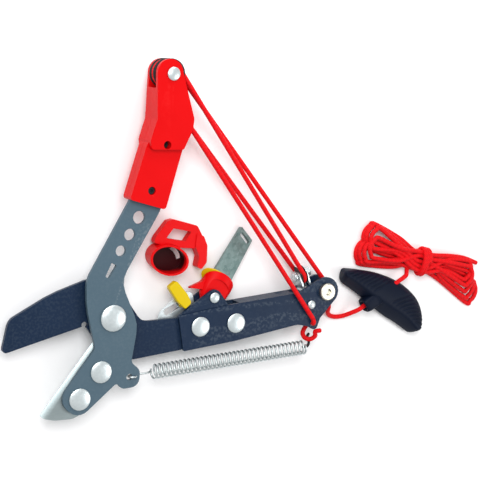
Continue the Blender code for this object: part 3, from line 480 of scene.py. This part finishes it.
def makeGrip():
    share = np.linspace(0, 1, grip["stations"])
    front, crest, back = gripCurves(share)
    # one closed loop of corners: front foot, front brow, crest, back brow, back foot
    plan = ((front, "bottom"), (front, "frontBrow"), (crest, "top"), (back, "backBrow"), (back, "bottom"))
    corners = np.stack([np.concatenate([line, np.full((len(share), 1), grip[level])], 1)
                        for line, level in plan], 1)
    angle = np.arange(grip["round"]) / grip["round"]
    # a closed quadratic B-spline through the middles of the sides rounds the corners
    position = angle * 5
    k = np.floor(position).astype(int)
    t = (position - k)[None, :, None]
    p0, p1, p2 = corners[:, (k - 1) % 5], corners[:, k], corners[:, (k + 1) % 5]
    soft = 0.5 * (1 - t)**2 * (p0 + p1) + 2 * t * (1 - t) * p1 + 0.5 * t**2 * (p1 + p2)
    nearCorner = corners[:, k] * (1 - t) + corners[:, (k + 1) % 5] * t
    loop = 0.45 * soft + 0.55 * (soft * 0.2 + nearCorner * 0.8)
    middle = loop.mean(1, keepdims=True)
    # both ends close with a round shoulder
    run = np.minimum(share, 1 - share)[:, None, None] * grip["length"]
    shoulder = np.clip(run / grip["shoulder"], 0, 1)
    shrink = (1 - (1 - shoulder)**grip["bluntness"])**(1 / grip["bluntness"])
    loop = middle + (loop - middle) * shrink
    # grooves across the back face, slanting, and none over the rope's way
    onBack = np.clip(np.sin(np.clip((position - 2.2) / 1.15, 0, 1) * math.pi), 0, 1)[None, :]
    slant = share[:, None] - grip["skew"] * (position[None, :] - 2.75)
    halves = (np.clip((slant - 0.05) / 0.36, 0, 1), np.clip((slant - 0.60) / 0.36, 0, 1))
    rib = sum(np.where((half > 0) & (half < 1), 0.5 - 0.5 * np.cos(half * 2 * math.pi * grip["ribs"]), 0)
              for half in halves)
    outward = loop - middle
    outward /= np.linalg.norm(outward, axis=-1, keepdims=True) + 1e-9
    loop = loop - outward * (rib**1.5 * onBack**0.5 * grip["ribDepth"] * shrink[..., 0])[..., None]
    loop[..., 2] = np.clip(loop[..., 2], grip["bottom"], grip["top"])
    verts = at(np.vstack([loop.reshape(-1, 3), middle[0], middle[-1]]))
    return addMesh("handle_grip", verts, closedGrid(grip["stations"], grip["round"]))


stem = {
    "sides": 48,
    "profile": [(17, 7.4), (10, 7.4), (3, 7.3), (0.6, 7.0), (-0.6, 6.6), (-1.0, 5.9), (-0.6, 5.1),
                (1.0, 4.2), (4, 3.6), (10, 3.2), (16, 3.1)],
}


def makeStem():
    # a squared collar turned along the bore: out over its rim and back down inside the hole
    way = (handleBack - handleMouth) / np.linalg.norm(handleBack - handleMouth)
    side = np.array([-way[1], way[0], 0])
    profile = np.array(stem["profile"])
    sides = stem["sides"]
    angle = np.arange(sides) / sides * 2 * math.pi
    power = np.interp(np.arange(len(profile)), [0, 5, 8], [0.5, 0.6, 1.0])[:, None]
    c = np.sign(np.cos(angle)) * np.abs(np.cos(angle))**power
    s = np.sign(np.sin(angle)) * np.abs(np.sin(angle))**power
    points = (handleMouth + profile[:, :1, None] * way + (profile[:, 1:] * c)[..., None] * side
              + (profile[:, 1:] * s)[..., None] * np.array([0, 0, 1.0]))
    ends = handleMouth + profile[[0, -1], :1] * way
    verts = np.vstack([points.reshape(-1, 3), ends])
    return addMesh("handle_stem", at(verts), closedGrid(len(profile), sides))


handleGrip = makeGrip()
handleStem = makeStem()
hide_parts("pull_handle")
for piece in (handleGrip, handleStem):
    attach(piece, "lever")

print("handle made")

# Rigid pieces: each keeps its CAD shape and gets the edges it would leave the shop with

edges = {
    "frame_plate": (0.55, 2), "lever_plate": (0.6, 2), "lever_bracket": (0.55, 2),
    "cutting_blade": (0.18, 1),
    "head_shell_front": (1.9, 3), "head_shell_back": (1.9, 3), "rope_guide_clip": (0.7, 2),
    "adapter_ferrule": (0.9, 3), "adapter_collar": (0.7, 2), "adapter_tongue": (0.5, 2),
    "lock_knob": (1.8, 3), "lock_plate": (0.35, 2), "block_strap": (0.3, 2), "end_bolt": (0.3, 2),
}
roundEdge = (0.3, 2)
weldGap = 0.000004
flatWithin = math.radians(0.6)
edgeAbove = math.radians(32)
ropeAndSoft = {"free_rope", "rope_hank_left", "rope_hank_right", "hank_tie", "pull_handle", "block_wrap",
               "end_wrap", "rope_anchor", "head_wrap_front", "head_wrap_back", "spring_tail_wire",
               "return_spring_lower", "return_spring_upper"}
slotOf = {row["node"]: row["material_slot"] for row in frame["record"]["subparts"]}
bodyOf = {node: body for body, held in frame["record"]["behaviour"]["bodies"].items() for node in held}


def finished(node):
    # a welded copy of the CAD solid with its flat faces whole, then bevelled
    width, segments = edges.get(node, roundEdge)
    mesh = frame["nodes"][node].data.copy()
    work = bmesh.new()
    work.from_mesh(mesh)
    bmesh.ops.remove_doubles(work, verts=work.verts, dist=weldGap)
    bmesh.ops.dissolve_limit(work, angle_limit=flatWithin, verts=work.verts, edges=work.edges)
    work.to_mesh(mesh)
    work.free()
    mesh.materials.clear()
    mesh.shade_smooth()
    piece = bpy.data.objects.new(node + "_piece", mesh)
    bpy.context.scene.collection.objects.link(piece)
    bevel = piece.modifiers.new("edge", "BEVEL")
    bevel.width = width * mm
    bevel.segments = segments
    bevel.limit_method = "ANGLE"
    bevel.angle_limit = edgeAbove
    normals = piece.modifiers.new("normals", "WEIGHTED_NORMAL")
    normals.keep_sharp = True
    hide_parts(node)
    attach(piece, bodyOf[node])
    return piece


rigid = {node: finished(node) for node in frame["nodes"]
         if node not in ropeAndSoft and not node.startswith("rope_line")}
print("rigid pieces finished:", len(rigid))

# Materials


class Wire:
    # one socket of a material's nodes, so that shader maths reads as Python
    def __init__(self, tree, socket=None):
        self.tree = tree
        self.socket = socket

    def make(self, kind, settings, inputs, output=0):
        node = self.tree.nodes.new(kind)
        for key, value in settings.items():
            setattr(node, key, value)
        for key, value in inputs.items():
            if isinstance(value, Wire):
                self.tree.links.new(value.socket, node.inputs[key])
            else:
                node.inputs[key].default_value = value
        return Wire(self.tree, node.outputs[output])

    def math(self, operation, first, second=0.0):
        return self.make("ShaderNodeMath", {"operation": operation}, {0: first, 1: second})

    def __add__(self, other):
        return self.math("ADD", self, other)

    def __sub__(self, other):
        return self.math("SUBTRACT", self, other)

    def __rsub__(self, other):
        return self.math("SUBTRACT", other, self)

    def __mul__(self, other):
        return self.math("MULTIPLY", self, other)

    def sine(self):
        return self.math("SINE", self)

    def clamp(self):
        return self.make("ShaderNodeClamp", {}, {"Value": self})

    def over(self, low, high):
        # 0 below low, 1 above high, smooth between
        return self.make("ShaderNodeMapRange", {"interpolation_type": "SMOOTHSTEP"},
                         {"Value": self, "From Min": low, "From Max": high}, "Result")

    __radd__ = __add__
    __rmul__ = __mul__


class Finish:
    # a material with its shader, its object coordinates and the few patterns used here
    def __init__(self, name, sockets):
        self.material = bpy.data.materials.new(name)
        self.material.use_nodes = True
        self.tree = self.material.node_tree
        self.shader = self.tree.nodes["Principled BSDF"]
        for key, value in sockets.items():
            self.shader.inputs[key].default_value = value
        self.start = Wire(self.tree)
        self.place = self.start.make("ShaderNodeTexCoord", {}, {}, "Object")

    def noise(self, scale, stretch=(1, 1, 1), detail=4.0, turn=0.0):
        mapped = self.start.make("ShaderNodeMapping", {}, {"Vector": self.place, "Scale": stretch,
                                                            "Rotation": (0, 0, turn)})
        return self.start.make("ShaderNodeTexNoise", {}, {"Vector": mapped, "Scale": scale, "Detail": detail},
                               "Fac")

    def mix(self, factor, first, second):
        inputs = {0: factor, 6: first if isinstance(first, Wire) else (*first, 1),
                  7: second if isinstance(second, Wire) else (*second, 1)}
        return self.start.make("ShaderNodeMix", {"data_type": "RGBA"}, inputs, 2)

    def edge(self):
        # 1 along the raised edges of a piece
        return self.start.make("ShaderNodeNewGeometry", {}, {}, "Pointiness").over(0.52, 0.60)

    def feed(self, socket, wire):
        self.tree.links.new(wire.socket, self.shader.inputs[socket])

    def bump(self, height, distance, strength=0.6):
        self.feed("Normal", self.start.make("ShaderNodeBump", {}, {
            "Height": height, "Distance": distance, "Strength": strength}))


def paintedSteel(name, look):
    finish = Finish(name, {"Metallic": 0.0, "Specular IOR Level": 0.16, "Coat Weight": 0.03,
                           "Coat Roughness": 0.3})
    cloud = finish.noise(35)
    peel = finish.noise(900, detail=2)
    scuff = finish.noise(260, (1, 6, 1), turn=0.5).over(0.66, 0.74)
    worn = (finish.edge() * finish.noise(420).over(0.45, 0.62)).clamp()
    colour = finish.mix(cloud, look["dark"], look["light"])
    colour = finish.mix(scuff * 0.04, colour, look["scuff"])
    finish.feed("Base Color", finish.mix(worn * look["wear"], colour, look["bare"]))
    finish.feed("Roughness", cloud * 0.1 + look["roughness"] + scuff * 0.12)
    finish.bump(peel * 0.7 + cloud * 0.3, 0.00006, 0.4)
    return finish.material


def steel(name, look):
    finish = Finish(name, {"Metallic": look.get("metallic", 1.0)})
    grain = finish.noise(look["grain"], look["stretch"], 3, look.get("turn", 0.0))
    cloud = finish.noise(60)
    stain = finish.noise(180).over(0.6, 0.8)
    colour = finish.mix(grain * 0.6 + cloud * 0.4, look["dark"], look["light"])
    tarnish = look.get("tarnish", look["dark"])
    finish.feed("Base Color", finish.mix(stain * look.get("stain", 0.2), colour, tarnish))
    finish.feed("Roughness", grain * 0.18 + cloud * 0.08 + look["roughness"])
    finish.bump(grain, 0.00006, 0.5)
    return finish.material


def galvanised(name, look):
    finish = Finish(name, {"Metallic": 0.75})
    cells = finish.start.make("ShaderNodeTexVoronoi", {}, {"Vector": finish.place, "Scale": look["spangle"]},
                              "Color")
    spangle = finish.start.make("ShaderNodeSeparateColor", {}, {"Color": cells}, 0)
    cloud = finish.noise(90)
    finish.feed("Base Color", finish.mix(spangle * 0.5 + cloud * 0.5, look["dark"], look["light"]))
    finish.feed("Roughness", spangle * 0.18 + 0.34)
    finish.bump(finish.noise(700), 0.0001, 0.5)
    return finish.material


def paintedShadeInWell(finish, well):
    # 1 inside an upright oval, below its rim: the mask for the painted shade inside the clip's ring
    mapped = finish.start.make("ShaderNodeMapping", {"vector_type": "TEXTURE"}, {
        "Vector": finish.place, "Location": tuple(at((*well["at"], 0))), "Rotation": (0, 0, well["turn"]),
        "Scale": (well["reach"][0] * mm, well["reach"][1] * mm, 1)})
    flat = finish.start.make("ShaderNodeVectorMath", {"operation": "MULTIPLY"}, {0: mapped, 1: (1, 1, 0)})
    radius = finish.start.make("ShaderNodeVectorMath", {"operation": "LENGTH"}, {0: flat}, "Value")
    height = finish.start.make("ShaderNodeSeparateXYZ", {}, {"Vector": finish.place}, 2)
    return (1 - radius.over(0.96, 1.02)) * (1 - height.over(well["rim"] * mm, (well["rim"] + 4) * mm))


def moulded(name, look):
    finish = Finish(name, {"Specular IOR Level": look.get("shine", 0.16),
                           "Coat Weight": look.get("coat", 0.0), "Coat Roughness": 0.2})
    cloud = finish.noise(30)
    spark = finish.noise(look["grain"], detail=2)
    rub = finish.edge() * finish.noise(300).over(0.4, 0.7)
    colour = finish.mix(cloud, look["dark"], look["light"])
    colour = finish.mix((rub * look["rub"]).clamp(), colour, look["pale"])
    # painted shade: inside the clip's ring, below its rim, the red turns to a dark shade colour
    if "well" in look:
        colour = finish.mix(paintedShadeInWell(finish, look["well"]), colour, look["wellShadeColour"])
    finish.feed("Base Color", colour)
    finish.feed("Roughness", cloud * 0.08 + spark * 0.1 + look["roughness"])
    finish.bump(spark, look["depth"], 0.5)
    return finish.material


def braidedRope(name, look):
    # the same two sets of strands as the rope's shape, with fine yarns along each, and painted shade in the
    # grooves between the strands
    finish = Finish(name, {"Sheen Weight": 0.05, "Sheen Roughness": 0.4, "Specular IOR Level": 0.14})
    uv = finish.start.make("ShaderNodeUVMap", {"uv_map": "weave"}, {})
    split = uv.tree.nodes.new("ShaderNodeSeparateXYZ")
    uv.tree.links.new(uv.socket, split.inputs[0])
    across = Wire(uv.tree, split.outputs[0]) * (2 * math.pi * rope["plaits"] / 2)
    along = Wire(uv.tree, split.outputs[1]) * (2 * math.pi / rope["pitch"] * rope["plaits"] / 4)
    which = (across * 2 - along).sine() * 0.5 + 0.5
    right = (across + along + math.pi / 2).sine()
    left = (across - along + math.pi / 2).sine()
    strand = (right * right) * which + (left * left) * (1 - which)
    yarn = ((across + along) * 7).sine() * 0.5 + 0.5
    fleck = finish.noise(1400, detail=2)
    patch = finish.noise(45)
    # painted shade: the grooves between the strands take a darker red than the crowns
    colour = finish.mix(strand.over(0.0, 0.75), look["groove"], look["crown"])
    colour = finish.mix(yarn * 0.22, colour, look["yarn"])
    finish.feed("Base Color", finish.mix(patch * 0.3, colour, look["shade"]))
    finish.feed("Roughness", fleck * 0.2 + 0.5)
    finish.bump(strand * 0.75 + yarn * 0.15 + fleck * 0.1, 0.0002, 0.5)
    return finish.material


materials = {
    "grey_paint": paintedSteel("grey_paint", {
        "dark": (0.064, 0.106, 0.138), "light": (0.074, 0.120, 0.155), "scuff": (0.12, 0.17, 0.21),
        "bare": (0.22, 0.26, 0.28), "wear": 0.3, "roughness": 0.38}),
    "navy_paint": paintedSteel("navy_paint", {
        "dark": (0.004, 0.014, 0.038), "light": (0.007, 0.021, 0.052), "scuff": (0.03, 0.05, 0.09),
        "bare": (0.12, 0.15, 0.18), "wear": 0.25, "roughness": 0.36}),
    "blade_steel": steel("blade_steel", {
        "dark": (0.26, 0.32, 0.33), "light": (0.48, 0.55, 0.56), "grain": 260, "stretch": (1, 14, 1),
        "turn": math.radians(-40), "roughness": 0.26, "stain": 0.15}),
    "zinc": steel("zinc", {
        "dark": (0.56, 0.64, 0.66), "light": (0.82, 0.88, 0.89), "grain": 420, "stretch": (1, 1, 3),
        "roughness": 0.2, "stain": 0.12, "metallic": 0.85}),
    "brassy_steel": steel("brassy_steel", {
        "dark": (0.40, 0.37, 0.30), "light": (0.72, 0.70, 0.62), "grain": 500, "stretch": (1, 1, 4),
        "roughness": 0.22, "stain": 0.3, "tarnish": (0.45, 0.36, 0.2)}),
    "spring_steel": steel("spring_steel", {
        "dark": (0.36, 0.42, 0.43), "light": (0.78, 0.82, 0.82), "grain": 700, "stretch": (4, 1, 1),
        "roughness": 0.24, "stain": 0.25}),
    "galvanised": galvanised("galvanised", {
        "dark": (0.09, 0.155, 0.15), "light": (0.25, 0.34, 0.33), "spangle": 330.0}),
    "red_plastic": moulded("red_plastic", {
        "dark": (0.58, 0.0004, 0.0012), "light": (0.66, 0.0008, 0.0024), "pale": (0.74, 0.02, 0.02),
        "grain": 1300, "depth": 0.00005, "roughness": 0.3, "rub": 0.25, "coat": 0.02, "shine": 0.1}),
    # the clip's red, with painted shade inside its ring
    "clip_plastic_painted_shade": moulded("clip_plastic_painted_shade", {
        "dark": (0.60, 0.0006, 0.0016), "light": (0.68, 0.0010, 0.0030), "pale": (0.80, 0.03, 0.03),
        "well": {"at": (63.2, 48.0), "turn": math.radians(-17), "reach": (17.4, 13.1), "rim": 13.0},
        # the dark colour inside the ring is painted shade
        "wellShadeColour": (0.030, 0.0006, 0.0020), "grain": 1300, "depth": 0.00005, "roughness": 0.3,
        "rub": 0.3}),
    "yellow_plastic": moulded("yellow_plastic", {
        "dark": (0.58, 0.41, 0.0010), "light": (0.66, 0.48, 0.0020), "pale": (0.76, 0.60, 0.08),
        "grain": 1100, "depth": 0.00006, "roughness": 0.3, "rub": 0.3, "coat": 0.03}),
    "black_plastic": moulded("black_plastic", {
        "dark": (0.010, 0.011, 0.013), "light": (0.022, 0.023, 0.026), "pale": (0.08, 0.08, 0.085),
        "grain": 900, "depth": 0.00008, "roughness": 0.36, "rub": 0.4}),
    "grip_plastic": moulded("grip_plastic", {
        "dark": (0.0020, 0.0045, 0.014), "light": (0.0040, 0.0085, 0.022), "pale": (0.02, 0.03, 0.06),
        "grain": 800, "depth": 0.00008, "roughness": 0.42, "rub": 0.3, "shine": 0.12}),
    "rope": braidedRope("rope", {
        # the groove colour is painted shade between the strands
        "groove": (0.46, 0.0010, 0.0030), "crown": (0.78, 0.0030, 0.0070), "yarn": (0.84, 0.008, 0.012),
        "shade": (0.64, 0.0010, 0.0040)}),
}

for node, piece in rigid.items():
    piece.data.materials.append(materials["clip_plastic_painted_shade" if node == "rope_guide_clip" else slotOf[node]])
for piece in ropePieces:
    piece.data.materials.append(materials["rope"])
for piece in springPieces:
    piece.data.materials.append(materials["spring_steel"])
for piece in (handleGrip, handleStem):
    piece.data.materials.append(materials["grip_plastic"])
print("materials made:", len(materials))
